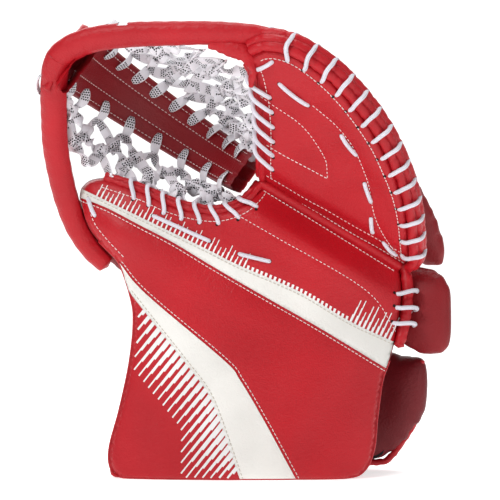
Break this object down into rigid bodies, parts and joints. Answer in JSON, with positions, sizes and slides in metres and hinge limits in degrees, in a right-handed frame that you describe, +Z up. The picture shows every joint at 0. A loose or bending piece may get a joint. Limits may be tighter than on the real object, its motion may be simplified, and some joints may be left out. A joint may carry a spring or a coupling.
{
  "type": "goalie catch glove",
  "caption": "Ice hockey goalie catch glove for the left hand: a padded cuff and thumb side, a laced pocket on a T-shaped web, and a finger side that folds shut.",
  "frame": {"origin": "middle of the bounding box at the lowest level of the cuff, rest pose fully open", "axes": "+X towards the finger side, +Y from the catching face to the back of the hand, +Z up from the cuff to the pocket"},
  "size_m": [0.3233, 0.1762, 0.3648],
  "materials": {
    "red_leather": "glossy grained",
    "dark_red_leather": "glossy grained",
    "white_leather": "smooth",
    "foam": "closed-cell foam, laminated",
    "liner": "soft brushed lining",
    "plate": "matte",
    "lace": "woven",
    "hook_tape": "hook side",
    "webbing": "woven strap"
  },
  "bodies": {
    "thumb_side": {"corner_panel": "red_leather", "lower_white_stripe": "white_leather", "centre_panel": "red_leather", "upper_white_stripe": "white_leather", "palm_panel": "red_leather", "cuff_foam": "foam", "cuff_plate": "plate", "cuff_liner": "liner", "palm_foam": "foam", "palm_plate": "plate", "cuff_edge_roll": "red_leather", "pocket_edge_binding": "red_leather", "heel_roll": "red_leather", "thumb_pocket_lace": "lace", "heel_lace": "lace", "palm_tie_left": "lace", "palm_tie_right": "lace", "thumb_tip_tie": "lace", "thumb_stall": "liner", "thumb_back_pad": "dark_red_leather", "lower_back_pad": "dark_red_leather", "strap_loop_patch": "liner", "thumb_rim": "red_leather", "thumb_net": "lace"},
    "web": {"web_face": "dark_red_leather", "web_core": "foam", "web_back": "red_leather", "web_crossbar": "red_leather"},
    "finger_side": {"finger_panel": "red_leather", "finger_foam": "foam", "finger_plate": "plate", "finger_liner": "liner", "upper_back_shell": "dark_red_leather", "perimeter_front_roll": "red_leather", "perimeter_back_roll": "red_leather", "finger_edge_binding": "red_leather", "perimeter_lace": "lace", "finger_pocket_lace": "lace", "finger_tie_top": "lace", "finger_tie_upper": "lace", "finger_tie_lower": "lace", "finger_tie_bottom": "lace", "break_tie": "lace", "finger_corner_tie": "lace", "index_stall": "liner", "middle_stall": "liner", "ring_stall": "liner", "little_stall": "liner", "finger_rim": "red_leather", "finger_net": "lace"},
    "wrist_flap": {"wrist_flap_liner": "liner", "wrist_flap_pad": "dark_red_leather", "wrist_flap_binding": "red_leather"},
    "wrist_strap": {"wrist_strap": "webbing", "strap_hook_patch": "hook_tape"}
  },
  "joints": [
    {"name": "web_fold", "type": "hinge", "parent": "thumb_side", "child": "web", "pos_m": [0.0094, 0.01369, 0.2325], "axis": [0.8493, 0.1564, -0.5043], "range_deg": [0, 30], "deforming": ["thumb_net", "thumb_rim"]},
    {"name": "finger_close", "type": "hinge", "parent": "web", "child": "finger_side", "pos_m": [0.0094, 0.01369, 0.2325], "axis": [0.8493, 0.1564, -0.5043], "range_deg": [0, 30], "deforming": ["finger_net", "finger_rim"]},
    {"name": "flap_open", "type": "hinge", "parent": "thumb_side", "child": "wrist_flap", "pos_m": [0.0938, 0.0674, 0.097], "axis": [1, 0, 0], "range_deg": [0, 30]},
    {"name": "strap_open", "type": "hinge", "parent": "wrist_flap", "child": "wrist_strap", "pos_m": [0.0313, 0.0679, 0.047], "axis": [0, 0, -1], "range_deg": [0, 110]}
  ],
  "couplings": [
    {"joint": "finger_close", "follows": "web_fold", "ratio": 1}
  ]
}
